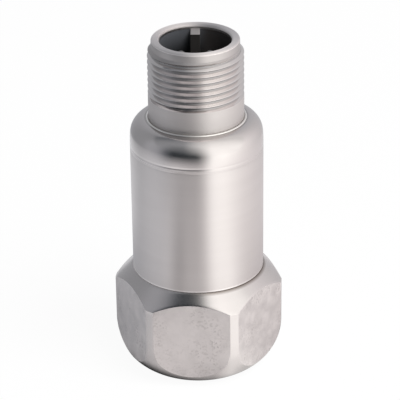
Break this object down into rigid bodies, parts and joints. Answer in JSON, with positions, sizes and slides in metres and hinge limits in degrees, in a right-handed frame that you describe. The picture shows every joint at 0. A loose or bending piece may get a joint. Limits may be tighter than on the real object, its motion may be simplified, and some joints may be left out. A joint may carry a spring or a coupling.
{
  "type": "vibration sensor",
  "caption": "Industrial vibration sensor: round steel body on a hex base with a tapped mounting hole, and a threaded two-pin connector on top.",
  "frame": {"origin": "centre of the mounting face, at the bottom of the tapped hole's mouth", "axes": "+Z along the body towards the connector, -Y out of one wrench flat, +X towards a hex corner"},
  "size_m": [0.0286, 0.0254, 0.0586],
  "materials": {
    "housing_steel": "turned and milled stainless steel, satin",
    "cap_steel": "turned stainless steel, smooth",
    "connector_steel": "threaded stainless steel, satin",
    "seal_glass": "dark fused glass",
    "pin_metal": "plated contact pin",
    "white_polymer": "insulating polymer",
    "alumina": "sintered ceramic",
    "inner_steel": "machined steel",
    "crystal": "piezoelectric ceramic",
    "tungsten": "sintered heavy alloy",
    "brass": "plain brass",
    "board_laminate": "glass-fibre laminate with solder mask",
    "chip_resin": "moulded resin",
    "capacitor_body": "moulded resin",
    "resistor_body": "glazed chip",
    "red_lead": "insulated wire",
    "white_lead": "insulated wire",
    "black_lead": "insulated wire"
  },
  "bodies": {
    "root": {"housing": "housing_steel", "top_cap": "cap_steel", "connector_shell": "connector_steel", "glass_seal": "seal_glass", "contact_pin_a": "pin_metal", "contact_pin_b": "pin_metal", "insulating_sleeve": "white_polymer", "base_insulator": "alumina", "sensor_post": "inner_steel", "piezo_ring": "crystal", "seismic_mass": "tungsten", "shield_cup": "brass", "lead_grommet": "white_polymer", "signal_lead": "red_lead", "board_standoffs": "brass", "circuit_board": "board_laminate", "board_screws": "inner_steel", "amplifier_chip": "chip_resin", "input_transistor": "chip_resin", "capacitors": "capacitor_body", "resistors": "resistor_body", "output_lead_a": "white_lead", "output_lead_b": "black_lead"}
  },
  "joints": []
}
